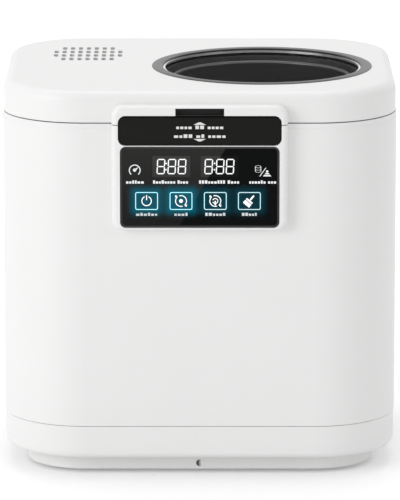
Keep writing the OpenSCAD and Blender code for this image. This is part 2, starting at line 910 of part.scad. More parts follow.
module filter_drawer() {
  front_y0 = body_d / 2;
  x0 = drawer_x - drawer_w / 2 + gap;
  w = drawer_w - 2 * gap;
  color(white)
  difference() {
    union() {
      translate([x0, front_y0 - drawer_d, drawer_z + gap])
        cube([w, drawer_d, drawer_h - 2 * gap]);
      translate([drawer_x - drawer_w / 2 - 4, front_y0 + gap, drawer_z - 4])
        cube([drawer_w + 8, drawer_back_y - front_y0, drawer_h + 8]);
      translate([x0, front_y0 - 1, drawer_z + gap]) cube([w, 1 + gap, drawer_h - 2 * gap]);
    }
    // room for the cartridge, open at the top
    translate([x0 + 2, front_y0 - drawer_d + 2, drawer_z + 2])
      cube([w - 4, drawer_d - 16, drawer_h]);
    // finger recess
    translate([drawer_x - 16, front_y0 - 10, drawer_z + drawer_h - 26]) cube([32, 20, 12]);
  }
}

module carbon_cartridge() {
  w = drawer_w - 2 * gap - 5;
  d = drawer_d - 17;
  color(black)
  translate([drawer_x - w / 2, body_d / 2 - drawer_d + 2.5, drawer_z + 2]) difference() {
    cube([w, d, drawer_h - 6]);
    for (i = [0:5]) translate([-1, 8 + i * (d - 16) / 5 - 1.5, 10]) cube([w + 2, 3, drawer_h - 26]);
  }
}

// ---- Lid

lid_w = body_w - 2 * lid_inset;
lid_d = body_d - 2 * lid_inset;
lid_r = corner_r - lid_inset;

module vent_slot(x, y, len) {
  translate([x, y, lid_top - wall - 1]) linear_extrude(wall + 2) {
    square([vent_w, len - vent_w], center = true);
    for (s = [-1, 1]) translate([0, s * (len - vent_w) / 2]) circle(vent_w / 2);
  }
}

vent_x = 73 - body_w / 2;
vent_y = 52;
vent_row = 19;

module vents() {
  mid = (vent_columns - 1) / 2;
  for (c = [0:vent_columns - 1], r = [0:3]) {
    outer = abs(c - mid) > mid - 0.5;
    if (!outer || r > 0 && r < 3)
      vent_slot(vent_x + (c - mid) * vent_pitch, vent_y + (r - 1.5) * vent_row, vent_l);
  }
}

module lid_outer() {
  color(white)
  difference() {
    union() {
      swept(lid_w, lid_d, lid_r) {
        translate([lid_r - wall, lid_z]) square([wall, lid_h - lid_edge_r]);
        intersection() {
          translate([lid_r - lid_edge_r, lid_top - lid_edge_r]) difference() {
            circle(lid_edge_r);
            circle(lid_edge_r - wall);
          }
          translate([lid_r - lid_edge_r, lid_top - lid_edge_r]) square(lid_edge_r);
        }
        translate([0, lid_top - wall]) square([lid_r - lid_edge_r, wall]);
      }
      translate([0, 0, lid_top - wall]) linear_extrude(wall)
        square([lid_w - 2 * lid_r + 0.1, lid_d - 2 * lid_r + 0.1], center = true);
      // upper part of the raised frame
      intersection() {
        bezel_block(bezel_out + lid_inset + 1);
        translate([-bezel_w, bezel_y - 1, lid_z])
          cube([2 * bezel_w, bezel_out + lid_inset + wall + 1, bezel_h]);
      }
      lid_arms();
      for (p = lid_spots) post(p[0], p[1], liner_z + liner_t, 4, lid_top - 1 - liner_z - liner_t);
    }
    at_bucket() post(0, 0, lid_top - wall - 1, window_r + 0.1, wall + 2);
    vents();
    // recess of the handle, the finger slot and the hole of the pin
    handle_recess(handle_t + 3.5);
    translate([-slot_w / 2, bezel_y - 1, slot_z]) cube([slot_w, slot_deep + 1, slot_h]);
    bar_x(-handle_w / 2 - 3.6, handle_w / 2 + 3.6, pivot_y, pivot_z, pin_r);
    for (p = lid_spots) post(p[0], p[1], lid_z, 1.4, 12);
  }
}

module slot_liner() {
  back = bezel_y + slot_deep;
  color(black)
  difference() {
    translate([-slot_w / 2, bezel_y + 1, slot_z]) cube([slot_w, slot_deep - 1, slot_h]);
    translate([-slot_w / 2 + 0.8, bezel_y, slot_z + 0.8])
      cube([slot_w - 1.6, slot_deep - 0.8, slot_h - 1.6]);
  }
}

module lid_inner() {
  side = liner_inset;
  well_top = glass_top - glass_t - 1.2;
  color(dark)
  difference() {
    union() {
      translate([0, 0, liner_z])
        slab(body_w - 2 * side, body_d - 2 * side, corner_r - side, liner_t);
      at_bucket() post(0, 0, liner_z, well_r + well_wall, well_top - liner_z);
    }
    at_bucket() post(0, 0, liner_z - 1, well_r, 60);
    for (i = [-2:2]) translate([vent_x - 2 + i * 12, vent_y - 28, liner_z - 1]) cube([5, 56, 5]);
    for (p = lid_spots) post(p[0], p[1], liner_z - 1, 1.4, 6);
  }
}

module window_frame() {
  low = glass_top - glass_t;
  color(dark)
  at_bucket() difference() {
    union() {
      post(0, 0, low, window_r, lid_top + frame_proud - low);
      post(0, 0, low, window_r + 3, lid_top - wall - low);
    }
    post(0, 0, low - 1, window_frame_in, 30);
  }
}

module window_trim() {
  color([0.8, 0.8, 0.8])
  at_bucket() translate([0, 0, glass_top]) difference() {
    cylinder(r = window_frame_in - 0.1, h = 1.8);
    translate([0, 0, -1]) cylinder(r = window_frame_in - trim_w, h = 5);
  }
}

module window_glass() {
  color([0.5, 0.5, 0.5, 0.3])
  at_bucket() post(0, 0, glass_top - glass_t, glass_r, glass_t);
}

module window_seal() {
  color(black)
  at_bucket() difference() {
    post(0, 0, glass_top - glass_t - 1.2, well_r + well_wall, 1.2);
    post(0, 0, glass_top - glass_t - 3, well_r, 5);
  }
}

module vent_pad() {
  pad_w = (vent_columns - 1) * vent_pitch + vent_w + 3.5;
  pad_d = 3 * vent_row + vent_l + 1;
  color(black)
  translate([vent_x - pad_w / 2, vent_y - pad_d / 2, liner_z + liner_t]) cube([pad_w, pad_d, 8]);
}

module lid_screws() {
  color(steel)
  for (p = lid_spots) screw(p[0], p[1], liner_z - 1.8, 9, down = false);
}

// ---- Latch

module latch_pin() {
  color(steel)
  bar_x(-handle_w / 2 - 3.5, handle_w / 2 + 3.5, pivot_y, pivot_z, pin_r);
}

module latch_handle() {
  color(black)
  difference() {
    intersection() {
      union() {
        bar_x(-handle_w / 2, handle_w / 2, pivot_y, pivot_z, pivot_r);
        translate([-handle_w / 2, inset_y, handle_z]) cube([handle_w, handle_t, pivot_z - handle_z]);
      }
      plate(handle_w, handle_h, handle_r, handle_t, inset_y, handle_z);
    }
    bar_x(-handle_w / 2 - 1, handle_w / 2 + 1, pivot_y, pivot_z, pin_r + run);
  }
}

module latch_hook() {
  back = inset_y + handle_t;
  color(steel)
  translate([-hook_w / 2, back, hook_z]) cube([hook_w, hook_tip_y - back, hook_t]);
  color(steel)
  translate([-hook_w / 2, back, hook_z - 3]) cube([hook_w, 1.4, 12]);
}

// ---- Bucket

module bucket() {
  color(dark)
  at_bucket() {
    difference() {
      union() {
        post(0, 0, bucket_z, bucket_r, bucket_h - rim_roll);
        translate([0, 0, bucket_top - rim_roll])
          rotate_extrude() translate([bucket_rim_r - rim_roll, 0]) circle(rim_roll);
      }
      post(0, 0, bucket_z + 2, bucket_in_r, bucket_h);
      post(0, 0, bucket_z - 1, shaft_r + gap, 20);
    }
    difference() {
      post(0, 0, bucket_z, shaft_r + 2.6, 14);
      post(0, 0, bucket_z - 1, shaft_r + gap, 20);
    }
    // foot with three tabs that turn under the seat's claws
    difference() {
      post(0, 0, tab_z, seat_r - 2, bucket_z - tab_z);
      post(0, 0, tab_z - 1, seat_r - 4, 10);
    }
    for (a = [0, 120, 240]) rotate([0, 0, a]) rotate_extrude(angle = claw_angle)
      translate([seat_r - 3, tab_z]) square([7, 1.5]);
  }
}

module bucket_grips() {
  color(steel)
  at_bucket() for (a = [0, 180]) rotate([0, 0, a - 12]) rotate_extrude(angle = 24) {
    translate([bucket_in_r - 1.2, bucket_top - 32]) square([1.2, 24]);
    translate([bucket_in_r - 14, bucket_top - 9.5]) square([14, 1.5]);
  }
}

blade_h = 12;
blade_z = [for (i = [0:2]) bucket_z + 20 + 38 * i];
fixed_z = [for (i = [0:1]) bucket_z + 41 + 38 * i];

module fixed_blades() {
  color(steel)
  at_bucket() for (i = [0, 1]) for (a = [45, 225]) rotate([0, 0, a + 90 * i])
    intersection() {
      translate([30, -2, fixed_z[i]]) cube([bucket_in_r, 4, 8]);
      post(0, 0, fixed_z[i] - 1, bucket_in_r, 20);
    }
}

module stirrer_shaft() {
  low = case_floor_z + case_wall + 0.3;
  top = bucket_top - 12;
  color(steel)
  at_bucket() {
    post(0, 0, low, shaft_r, top - low);
    translate([0, 0, top]) cylinder(r1 = shaft_r, r2 = shaft_r - 3, h = 3);
  }
}

module stirrer_blades() {
  color(steel)
  at_bucket() {
    difference() {
      post(0, 0, bucket_z + 18, shaft_r + 4, blade_z[2] + blade_h + 6 - bucket_z - 18);
      post(0, 0, bucket_z + 10, shaft_r, 200);
    }
    for (i = [0:2]) for (a = [20, 200]) rotate([0, 0, a + 60 * i]) {
      translate([shaft_r + 2, -3, blade_z[i]]) cube([blade_reach - shaft_r - 2, 6, blade_h]);
      translate([blade_reach - 14, -5, blade_z[i] - 1]) cube([14, 10, blade_h + 2]);
    }
  }
}

// ---- Every sub-part, or the one named

rubber_feet();
base_tray();
base_screws();
chassis_plate();
chassis_posts();
load_cells();
body_shell();
top_deck();
deck_screws();
deck_seal();
exhaust_grille();
control_bezel();
touch_panel();
display_board();
digits_left();
digits_right();
button_frames();
control_board();
power_board();
power_inlet();
latch_strike();
reed_switch();
hinge_block();
hinge_pin();
heated_chamber();
heater_ring();
temperature_sensor();
shaft_bush();
bucket_seat();
gearbox_lower();
gearbox_upper();
idler_axle();
motor();
fan_frame();
air_duct();
filter_sleeve();
lid_outer();
lid_inner();
window_frame();
window_trim();
window_glass();
window_seal();
vent_pad();
lid_magnet();
lid_screws();
slot_liner();
latch_pin();
latch_handle();
latch_hook();
bucket();
bucket_grips();
fixed_blades();
stirrer_shaft();
stirrer_blades();
output_gear();
idler_gear();
motor_pinion();
fan_impeller();
filter_drawer();
carbon_cartridge();
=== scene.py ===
# Electric food waste composter: finishes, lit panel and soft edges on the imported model.
import json
import math

import bmesh
import bpy
import numpy as np
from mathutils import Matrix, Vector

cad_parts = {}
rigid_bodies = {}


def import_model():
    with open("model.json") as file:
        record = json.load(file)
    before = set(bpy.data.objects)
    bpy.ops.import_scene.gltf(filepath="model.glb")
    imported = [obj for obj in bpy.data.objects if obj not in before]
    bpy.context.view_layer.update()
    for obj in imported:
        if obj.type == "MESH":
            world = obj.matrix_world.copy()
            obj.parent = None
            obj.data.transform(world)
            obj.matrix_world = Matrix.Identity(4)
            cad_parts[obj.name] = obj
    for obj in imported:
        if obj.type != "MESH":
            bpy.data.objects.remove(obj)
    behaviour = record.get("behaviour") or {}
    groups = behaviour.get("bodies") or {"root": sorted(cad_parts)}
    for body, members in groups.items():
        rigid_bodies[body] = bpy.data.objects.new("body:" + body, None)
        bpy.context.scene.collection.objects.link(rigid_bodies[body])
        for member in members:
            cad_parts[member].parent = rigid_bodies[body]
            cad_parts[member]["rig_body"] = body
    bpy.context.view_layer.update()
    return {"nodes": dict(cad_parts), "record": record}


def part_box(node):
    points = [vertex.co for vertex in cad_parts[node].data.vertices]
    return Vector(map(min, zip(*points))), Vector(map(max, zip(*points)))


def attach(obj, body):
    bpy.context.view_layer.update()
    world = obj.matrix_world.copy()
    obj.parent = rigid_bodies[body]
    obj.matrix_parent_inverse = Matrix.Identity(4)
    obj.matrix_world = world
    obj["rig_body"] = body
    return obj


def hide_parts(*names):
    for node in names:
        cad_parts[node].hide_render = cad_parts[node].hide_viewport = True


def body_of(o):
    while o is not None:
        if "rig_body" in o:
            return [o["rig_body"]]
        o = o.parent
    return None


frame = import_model()
print("frame loaded:", len(frame["nodes"]), "nodes")


# Shader maths: a wrapped socket that can be added, subtracted, multiplied and compared
class Wire:
    def __init__(self, tree, socket):
        self.tree, self.socket = tree, socket

    def join(self, operation, other, swap=False, clamp=False):
        node = self.tree.nodes.new("ShaderNodeMath")
        node.operation, node.use_clamp = operation, clamp
        pair = (other, self) if swap else (self, other)
        for slot, value in zip(node.inputs, pair):
            plug(self.tree, slot, value)
        return Wire(self.tree, node.outputs[0])

    def __add__(self, other):
        return self.join("ADD", other)

    def __radd__(self, other):
        return self.join("ADD", other, swap=True)

    def __sub__(self, other):
        return self.join("SUBTRACT", other)

    def __rsub__(self, other):
        return self.join("SUBTRACT", other, swap=True)

    def __mul__(self, other):
        return self.join("MULTIPLY", other)

    def __rmul__(self, other):
        return self.join("MULTIPLY", other, swap=True)

    def __gt__(self, other):
        return self.join("GREATER_THAN", other)

    def __lt__(self, other):
        return self.join("LESS_THAN", other)

    def clamped(self):
        return self.join("ADD", 0.0, clamp=True)

    def absolute(self):
        return self.join("ABSOLUTE", 0.0)

    def atLeast(self, other):
        return self.join("MAXIMUM", other)

    def atMost(self, other):
        return self.join("MINIMUM", other)


# Distance from the place where two axes are nought
def distance(across, along):
    return (across * across + along * along).join("POWER", 0.5)


# Sets a node's socket to a value, or links a wire to it
def plug(tree, slot, value):
    if isinstance(value, Wire):
        tree.links.new(value.socket, slot)
    elif isinstance(value, (tuple, list)):
        slot.default_value = (*value, 1.0) if len(slot.default_value) == 4 else tuple(value)
    else:
        slot.default_value = value


# A material being built: its shader is set by keyword, and add makes any other node
class Finish:
    def __init__(self, name, **shader):
        self.material = bpy.data.materials.new(name)
        self.material.use_nodes = True
        self.tree = self.material.node_tree
        self.shader = self.tree.nodes["Principled BSDF"]
        self.set(**shader)

    def set(self, **sockets):
        for key, value in sockets.items():
            plug(self.tree, self.shader.inputs[key.replace("_", " ")], value)

    def add(self, kind, settings=None, output=0, **sockets):
        node = self.tree.nodes.new(kind)
        for key, value in (settings or {}).items():
            setattr(node, key, value)
        for key, value in sockets.items():
            plug(self.tree, node.inputs[key.replace("_", " ")], value)
        return Wire(self.tree, node.outputs[output])

    # Object coordinates, whole and as three wires
    def place(self):
        return self.add("ShaderNodeTexCoord", output=3)

    def axes(self):
        split = self.add("ShaderNodeSeparateXYZ", Vector=self.place()).socket.node
        return [Wire(self.tree, output) for output in split.outputs]

    def noise(self, scale, detail=4.0, roughness=0.5, where=None):
        where = where or self.place()
        return self.add("ShaderNodeTexNoise", Vector=where, Scale=scale, Detail=detail,
                        Roughness=roughness)

    def mix(self, factor, a, b):
        node = self.tree.nodes.new("ShaderNodeMix")
        node.data_type = "RGBA"
        plug(self.tree, node.inputs[0], factor)
        plug(self.tree, node.inputs[6], a)
        plug(self.tree, node.inputs[7], b)
        return Wire(self.tree, node.outputs[2])

    def bump(self, height, strength, distance):
        self.set(Normal=self.add("ShaderNodeBump", Height=height, Strength=strength,
                                 Distance=distance))


# Moulded plastic: a fine even spark grain in the bump, and a faint drift in colour and gloss
def mouldedPlastic(name, colour, rough, grain=0.5, mottle=0.03, gloss=0.5):
    finish = Finish(name, IOR=1.48, Specular_IOR_Level=gloss)
    drift = finish.noise(9.0, detail=3.0)
    fine = finish.noise(1400.0, detail=2.0, roughness=0.6)
    darker = tuple(c * (1 - mottle) for c in colour)
    finish.set(Base_Color=finish.mix(drift, darker, colour),
               Roughness=rough - 0.04 + 0.08 * drift + 0.05 * fine)
    finish.bump(fine, strength=grain, distance=0.00006)
    return finish.material


# Brushed metal: noise stretched along the way of brushing, in roughness and bump
def brushedMetal(name, colour, rough, along="X", lines=900.0):
    finish = Finish(name, Metallic=1.0)
    stretch = tuple(4.0 if axis == along else lines for axis in "XYZ")
    where = finish.add("ShaderNodeMapping", Vector=finish.place(), Scale=stretch)
    streaks = finish.noise(1.0, detail=3.0, roughness=0.6, where=where)
    stain = finish.noise(14.0)
    finish.set(Base_Color=finish.mix(stain, tuple(c * 0.92 for c in colour), colour),
               Roughness=rough - 0.06 + 0.16 * streaks)
    finish.bump(streaks, strength=0.25, distance=0.00005)
    return finish.material


# Dark non-stick coating: pale flecks in a charcoal ground, and a slight orange peel
def nonStick(name, ground, fleck):
    finish = Finish(name, IOR=1.5, Specular_IOR_Level=0.2)
    cells = finish.add("ShaderNodeTexVoronoi", Vector=finish.place(), Scale=420.0)
    flecked = (cells < 0.16) * (finish.noise(160.0, detail=2.0) > 0.52)
    finish.set(Base_Color=finish.mix(flecked, ground, fleck),
               Roughness=0.34 + 0.14 * finish.noise(60.0, detail=3.0))
    finish.bump(finish.noise(500.0, detail=2.0), strength=0.08, distance=0.00008)
    return finish.material


# Solder mask: tracks from a stepped cell pattern, lighter than the green ground
def circuitBoard(name, ground, trackGreen):
    finish = Finish(name, Roughness=0.4, IOR=1.5)
    cells = finish.add("ShaderNodeTexVoronoi", {"distance": "MANHATTAN", "feature": "F1"},
                       Vector=finish.place(), Scale=110.0)
    track = (cells > 0.42) * (cells < 0.5)
    finish.set(Base_Color=finish.mix(track, ground, trackGreen), Roughness=0.3 + 0.2 * track)
    finish.bump(track, strength=0.4, distance=0.00006)
    return finish.material


# Pressed carbon granules: round cells that stand up from darker joints
def granules(name, colour):
    finish = Finish(name, IOR=1.5)
    cells = finish.add("ShaderNodeTexVoronoi", Vector=finish.place(), Scale=520.0)
    lighter = tuple(c * 3 for c in colour)
    finish.set(Base_Color=finish.mix(cells, lighter, colour), Roughness=0.6 + 0.3 * cells)
    finish.bump(1.0 - cells, strength=0.8, distance=0.0006)
    return finish.material


# A smoked pane, seen through: its tint is a little denser where a faint smear lies
def smokedPane(name, tint, density, bend):
    finish = Finish(name, IOR=bend, Base_Color=tint)
    smear = finish.noise(14.0)
    finish.set(Alpha=density + 0.06 * smear, Roughness=0.04 + 0.06 * smear)
    return finish.material


# Dark spun metal: fine rings in the gloss, and a painted highlight: lighter colour in lobes at the left
# and right
def spunRing(name, ring):
    finish = Finish(name, Metallic=0.6, IOR=1.3)
    x, y, _ = finish.axes()
    right = (x - float(ring["centre"][0])) * (1.0 / ring["outer"])
    back = (y - float(ring["centre"][1])) * (1.0 / ring["outer"])
    lines = (distance(right, back) * 900.0).join("SINE", 0.0) * 0.5 + 0.5
    # The lobes are a painted highlight: the base colour is lighter towards the ring's left and right ends
    lobeWidth = 1.0 - ring["lobeFrom"]
    paintedLobes = ((right.absolute() - ring["lobeFrom"]) * (1.0 / lobeWidth)).clamped()
    paintedSheen = paintedLobes * (0.75 + 0.25 * finish.noise(50.0, detail=3.0))
    finish.set(Base_Color=finish.mix(paintedSheen, ring["dark"], ring["light"]),
               Roughness=0.28 + 0.08 * lines)
    finish.bump(lines, strength=0.15, distance=0.00002)
    return finish.material


# Black glass: a painted reflection, a broad lighter patch on its left, stops at a slanted edge and fades
# towards the bottom
def screenGlass(name, paintedSheen, dark, light):
    finish = Finish(name, IOR=1.5, Specular_IOR_Level=0.05)
    across, _, up = finish.axes()
    down = paintedSheen["top"] - up
    # left is the mask of the painted reflection, and fade dims it towards the bottom
    left = ((paintedSheen["edge"] - across - down * paintedSheen["slope"]) * paintedSheen["sharp"] + 0.5).clamped()
    fade = (1.0 - down * paintedSheen["fade"]).clamped()
    smear = finish.noise(30.0, detail=3.0)
    finish.set(Base_Color=finish.mix(left * fade, dark, light),
               Roughness=0.07 + 0.05 * smear)
    return finish.material


# A hollow with its side light painted: painted shade on its left, a painted highlight on its right
def paintedSideLitDish(name, radius, dark, light):
    finish = Finish(name, Roughness=0.5, IOR=1.48)
    right, _, _ = finish.axes()
    finish.set(Base_Color=finish.mix((right * (1.0 / radius) + 0.45).clamped(), dark, light))
    return finish.material


# A lit surface: an even colour, slightly dimmed by a fine noise
def glowing(name, colour, strength):
    finish = Finish(name, Roughness=0.5, Base_Color=colour, Emission_Strength=strength)
    dim = tuple(c * 0.9 for c in colour)
    finish.set(Emission_Color=finish.mix(finish.noise(300.0, detail=1.0), dim, colour))
    return finish.material


# Rubber: a chalky fine bump with dust-light patches
def rubbery(name, colour, rough):
    finish = Finish(name, IOR=1.45)
    patches = finish.noise(70.0, detail=5.0)
    dusty = tuple(c * 1.5 + 0.01 for c in colour)
    finish.set(Base_Color=finish.mix(patches, colour, dusty), Roughness=rough + 0.1 * patches)
    finish.bump(finish.noise(900.0, detail=2.0), strength=0.5, distance=0.0001)
    return finish.material


plastics = {
    "whiteShell": {"colour": (0.86, 0.86, 0.855), "rough": 0.36},
    "innerShell": {"colour": (0.78, 0.78, 0.77), "rough": 0.5},
    "gearWhite": {"colour": (0.74, 0.72, 0.65), "rough": 0.42},
    "blackGloss": {"colour": (0.007, 0.007, 0.006), "rough": 0.3, "grain": 0.25, "gloss": 0.12},
    "darkSatin": {"colour": (0.045, 0.046, 0.048), "rough": 0.3, "grain": 0.3},
    "darkMatte": {"colour": (0.03, 0.03, 0.032), "rough": 0.55},
    "slotBlack": {"colour": (0.003, 0.003, 0.003), "rough": 0.7},
    "heaterBrown": {"colour": (0.20, 0.11, 0.06), "rough": 0.7, "grain": 0.8, "mottle": 0.3},
}
metals = {
    "steelBrushed": {"colour": (0.62, 0.62, 0.63), "rough": 0.3},
    "steelPin": {"colour": (0.55, 0.55, 0.57), "rough": 0.25, "along": "Z"},
    "satinTrim": {"colour": (0.86, 0.86, 0.85), "rough": 0.3, "along": "Z", "lines": 400.0},
    "aluminiumSatin": {"colour": (0.70, 0.71, 0.72), "rough": 0.38, "along": "Z", "lines": 300.0},
    "bronzeBush": {"colour": (0.60, 0.44, 0.22), "rough": 0.4, "along": "Z", "lines": 300.0},
}
rubbers = {
    "feetRubber": {"colour": (0.02, 0.02, 0.02), "rough": 0.75},
    "sealRubber": {"colour": (0.07, 0.07, 0.072), "rough": 0.6},
}
for makeFinish, table in ((mouldedPlastic, plastics), (brushedMetal, metals), (rubbery, rubbers)):
    for name, values in table.items():
        makeFinish(name, **values)

nonStick("coatedBucket", ground=(0.008, 0.008, 0.0085), fleck=(0.036, 0.036, 0.036))
circuitBoard("boardGreen", ground=(0.006, 0.07, 0.03), trackGreen=(0.03, 0.20, 0.08))
granules("carbonBlack", colour=(0.010, 0.010, 0.011))
smokedPane("paneGlass", tint=(0.010, 0.0105, 0.011), density=0.12, bend=1.03)
glowing("lightFrosted", colour=(0.30, 0.75, 0.80), strength=0.3)

nodeFinish = {
    "whiteShell": "base_tray body_shell control_bezel hinge_block exhaust_grille lid_outer filter_drawer",
    "innerShell": "top_deck bucket_seat filter_sleeve",
    "gearWhite": "output_gear idler_gear",
    "blackGloss": "latch_handle power_inlet reed_switch",
    "darkSatin": "window_frame",
    "darkMatte": "lid_inner digits_left digits_right gearbox_lower gearbox_upper fan_frame "
                 "air_duct fan_impeller",
    "slotBlack": "slot_liner",
    "steelBrushed": "chassis_plate load_cells latch_strike latch_hook bucket_grips fixed_blades "
                    "stirrer_blades base_screws deck_screws lid_screws lid_magnet latch_pin hinge_pin",
    "steelPin": "chassis_posts temperature_sensor idler_axle motor stirrer_shaft motor_pinion",
    "satinTrim": "window_trim",
    "aluminiumSatin": "heated_chamber",
    "bronzeBush": "shaft_bush",
    "heaterBrown": "heater_ring",
    "coatedBucket": "bucket",
    "boardGreen": "display_board control_board power_board",
    "carbonBlack": "vent_pad carbon_cartridge",
    "paneGlass": "window_glass",
    "feetRubber": "rubber_feet",
    "sealRubber": "deck_seal window_seal",
    "lightFrosted": "button_frames",
}


def paintNodes():
    for finish, names in nodeFinish.items():
        for name in names.split():
            mesh = frame["nodes"][name].data
            mesh.materials.clear()
            mesh.materials.append(bpy.data.materials[finish])


paintNodes()
print("nodes painted")

bodies = frame["record"]["behaviour"]["bodies"]
bodyOf = {node: body for body, names in bodies.items() for node in names}


# Points and faces as whole arrays, made into a piece that rides on a body
def meshPiece(name, points, faces, material, body, smooth=True):
    mesh = bpy.data.meshes.new(name)
    mesh.from_pydata(np.asarray(points, float).reshape(-1, 3).tolist(), [], [list(f) for f in faces])
    mesh.materials.append(material)
    mesh.validate()
    piece = bpy.data.objects.new(name, mesh)
    bpy.context.scene.collection.objects.link(piece)
    if smooth:
        mesh.shade_smooth()
    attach(piece, body)
    return piece


# Quads of a rows by columns grid of points; a closed way joins its last line to its first
def gridFaces(rows, columns, closedRows=False, closedColumns=False):
    r = np.arange(rows if closedRows else rows - 1)[:, None]
    c = np.arange(columns if closedColumns else columns - 1)[None, :]
    r2, c2 = (r + 1) % rows, (c + 1) % columns
    quads = np.stack([r * columns + c, r * columns + c2, r2 * columns + c2, r2 * columns + c], -1)
    return quads.reshape(-1, 4)


# A closed profile of (radius, height) turned round an upright axis: each point is the centre plus
# (r cos a, r sin a, height); for a piece that faces the front, y and z change places
def lathe(name, profile, centre, material, body, steps, front=False):
    radius, height = np.asarray(profile, float).T
    turn = np.linspace(0, 2 * math.pi, steps, endpoint=False)[:, None]
    points = np.stack([centre[0] + radius * np.cos(turn), centre[1] + radius * np.sin(turn),
                       np.broadcast_to(height, (steps, len(height)))], -1)
    if front:
        points = points[..., [0, 2, 1]]
    faces = gridFaces(steps, len(profile), closedRows=True, closedColumns=True)
    return outward(meshPiece(name, points, faces, material, body))


# Merges doubles, then turns every face outwards
def outward(piece):
    work = bmesh.new()
    work.from_mesh(piece.data)
    bmesh.ops.remove_doubles(work, verts=work.verts, dist=1e-6)
    bmesh.ops.recalc_face_normals(work, faces=work.faces)
    work.to_mesh(piece.data)
    work.free()
    return piece


# Points of an arc in a profile's plane, angles in degrees
def arcProfile(centre, radius, start, end, steps):
    a = np.radians(np.linspace(start, end, steps))
    return np.stack([centre[0] + radius * np.cos(a), centre[1] + radius * np.sin(a)], -1)


# A rounded rectangle's points round (0, 0), anticlockwise
def roundedOutline(width, height, radius, steps):
    corners = [(1, 1, 0), (-1, 1, 90), (-1, -1, 180), (1, -1, 270)]
    return np.concatenate([arcProfile((x * (width / 2 - radius), y * (height / 2 - radius)), radius,
                                      a, a + 90, steps) for x, y, a in corners])


# A front view's outline stood up at one depth: (x, z) becomes (x, y, z)
def upright(outline, y):
    return np.stack([outline[:, 0], np.full(len(outline), y), outline[:, 1]], -1)


# A flat shape that faces the front: an outline, and a hole with as many points, pushed back by depth
def frontPlate(name, outline, y, depth, material, body, hole=None):
    rings = [outline, outline] if hole is None else [outline, outline, hole, hole]
    ys = [y + depth, y] if hole is None else [y + depth, y, y, y + depth]
    count = len(outline)
    points = np.concatenate([upright(line, at) for line, at in zip(rings, ys)])
    faces = gridFaces(len(rings), count, closedRows=hole is not None, closedColumns=True).tolist()
    if hole is None:
        faces += [list(range(count)), list(range(count, 2 * count))[::-1]]
    return outward(meshPiece(name, points, faces, material, body, smooth=False))


# Several pieces of one material made into one
def joined(name, pieces):
    work = bmesh.new()
    for piece in pieces:
        work.from_mesh(piece.data)
    material = pieces[0].data.materials[0]
    body = body_of(pieces[0])[0]
    for piece in pieces:
        bpy.data.objects.remove(piece)
    mesh = bpy.data.meshes.new(name)
    work.to_mesh(mesh)
    work.free()
    mesh.materials.append(material)
    whole = bpy.data.objects.new(name, mesh)
    bpy.context.scene.collection.objects.link(whole)
    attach(whole, body)
    return whole


# Soft edges on the moulded pieces, in metres and degrees
softEdge = {
    "widths": {"latch_handle": 0.0009, "filter_drawer": 0.0008, "hinge_block": 0.0012,
               "exhaust_grille": 0.0005, "power_inlet": 0.0005},
    "segments": 3, "sharp": 35.0, "flat": 0.5, "merge": 2e-6,
}


# The CAD node's surface with sharp edges rounded: doubles merged, flats joined, then bevelled
def softEdged(node, width):
    source = frame["nodes"][node]
    piece = bpy.data.objects.new(node + "_soft", source.data.copy())
    bpy.context.scene.collection.objects.link(piece)
    work = bmesh.new()
    work.from_mesh(piece.data)
    bmesh.ops.remove_doubles(work, verts=work.verts, dist=softEdge["merge"])
    bmesh.ops.dissolve_limit(work, angle_limit=math.radians(softEdge["flat"]), verts=work.verts,
                             edges=work.edges)
    work.to_mesh(piece.data)
    work.free()
    piece.data.shade_smooth()
    bevel = piece.modifiers.new("softEdge", "BEVEL")
    bevel.width = width
    bevel.segments = softEdge["segments"]
    bevel.limit_method = "ANGLE"
    bevel.angle_limit = math.radians(softEdge["sharp"])
    bevel.harden_normals = True
    bevel.use_clamp_overlap = True
    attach(piece, bodyOf[node])
    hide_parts(node)


for node, width in softEdge["widths"].items():
    softEdged(node, width)
print("soft edges:", len(softEdge["widths"]))


# The window's ring, with both of its top edges rounded
ringLow, ringHigh = (np.array(corner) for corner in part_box("window_frame"))
ringMiddle = (ringLow + ringHigh) / 2
# lobeFrom sets where the painted highlight lobes start; dark is the ring's own colour, light is the
# painted highlight colour
ring = {
    "centre": ringMiddle[:2], "flange": (ringHigh[0] - ringLow[0]) / 2, "outer": 0.099,
    "inner": 0.089, "flangeTop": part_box("lid_outer")[1][2] - 0.0026, "outerRound": 0.0004,
    "innerRound": 0.0014, "lobeFrom": 0.7, "dark": (0.020, 0.020, 0.0205),
    "light": (0.11, 0.11, 0.108),
}


def windowRing():
    top, low = ringHigh[2], ringLow[2]
    out, into = ring["outerRound"], ring["innerRound"]
    profile = np.concatenate([
        [(ring["inner"], low), (ring["flange"], low), (ring["flange"], ring["flangeTop"]),
         (ring["outer"], ring["flangeTop"])],
        arcProfile((ring["outer"] - out, top - out), out, 0, 90, steps=4),
        arcProfile((ring["inner"] + into, top - into), into, 90, 180, steps=6)])
    piece = lathe("window_ring", profile, ring["centre"], spunRing("ringDark", ring), "lid", steps=192)
    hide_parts("window_frame")


windowRing()


# A polished bead round the bucket's rolled rim: a circle of 16 points carried round the bucket
bead = {
    "centre": (ringMiddle[0], ringMiddle[1]), "rimTop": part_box("bucket")[1][2], "radius": 0.080,
    "roll": 0.002, "proud": 0.00025, "colour": (0.16, 0.16, 0.158),
}


def bucketBead():
    steelBead = brushedMetal("steelBead", bead["colour"], rough=0.34, along="Z", lines=500.0)
    middle = bead["rimTop"] - bead["roll"]
    profile = arcProfile((bead["radius"], middle), bead["roll"] + bead["proud"], 0, 337.5, steps=16)
    lathe("bucket_bead", profile, bead["centre"], steelBead, "bucket", steps=160)


bucketBead()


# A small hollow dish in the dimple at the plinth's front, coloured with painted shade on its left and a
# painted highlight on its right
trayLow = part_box("base_tray")[0]
dish = {
    "in": 0.0194, "up": 0.0052, "radius": 0.0031, "lip": 0.0003, "front": 0.0001,
    "hollow": 0.0009, "back": 0.00115, "dark": (0.035, 0.035, 0.034), "light": (0.90, 0.90, 0.89),
}


